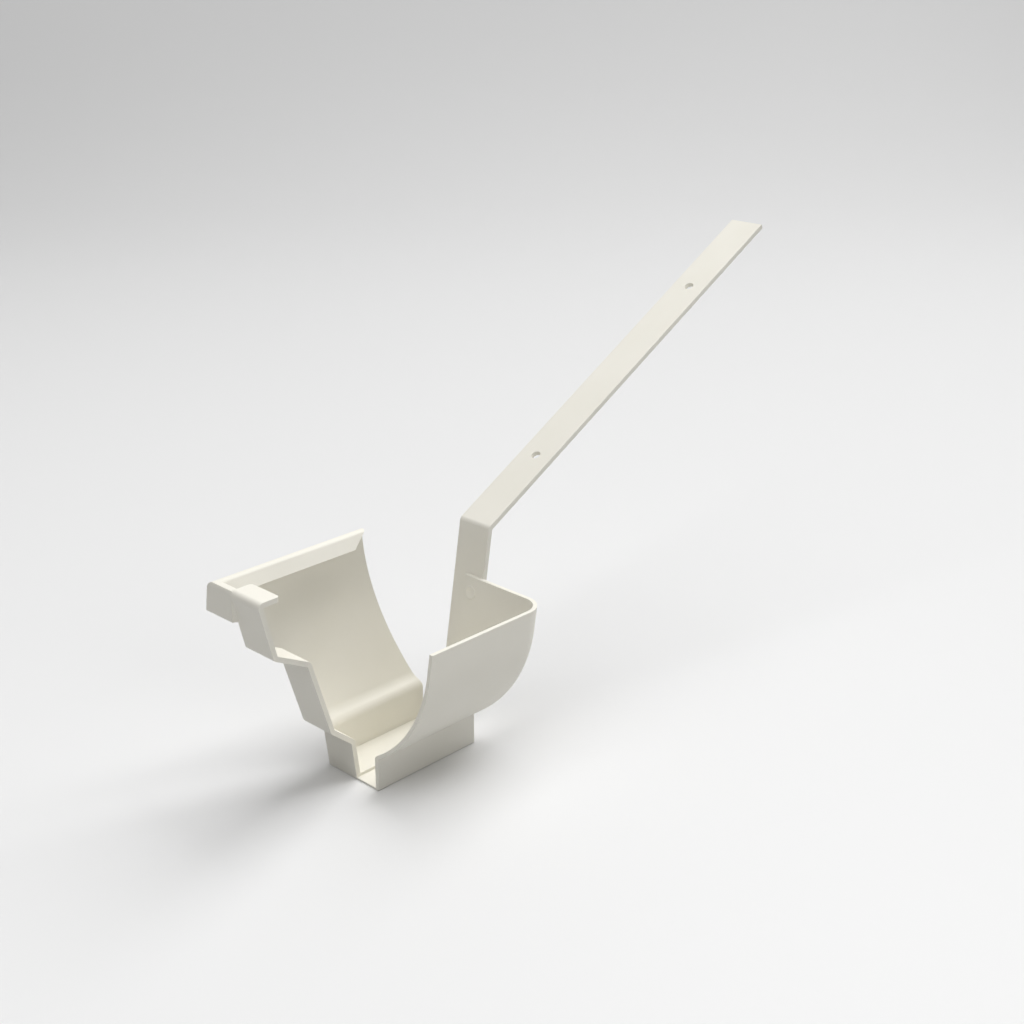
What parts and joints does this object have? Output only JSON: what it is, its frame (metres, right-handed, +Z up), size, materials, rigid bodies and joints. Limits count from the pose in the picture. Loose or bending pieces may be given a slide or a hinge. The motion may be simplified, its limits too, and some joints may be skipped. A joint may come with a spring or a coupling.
{
  "type": "gutter bracket",
  "caption": "Gutter bracket bent from flat bar, with a moulded front, a curved side cheek on each side of its trough and a long sloping arm that screws to a rafter.",
  "frame": {"origin": "centre of the base's underside, on the surface the bracket stands on", "axes": "+X across the strap towards the deeper cheek, +Y from the moulded front towards the building and up the arm, +Z up"},
  "size_m": [0.104, 0.444, 0.2746],
  "materials": {
    "ivory_paint": "satin ivory paint"
  },
  "bodies": {
    "root": {"rafter_strap": "ivory_paint", "front_cheek": "ivory_paint", "rear_cheek": "ivory_paint", "flange_rivet": "ivory_paint"}
  },
  "joints": []
}
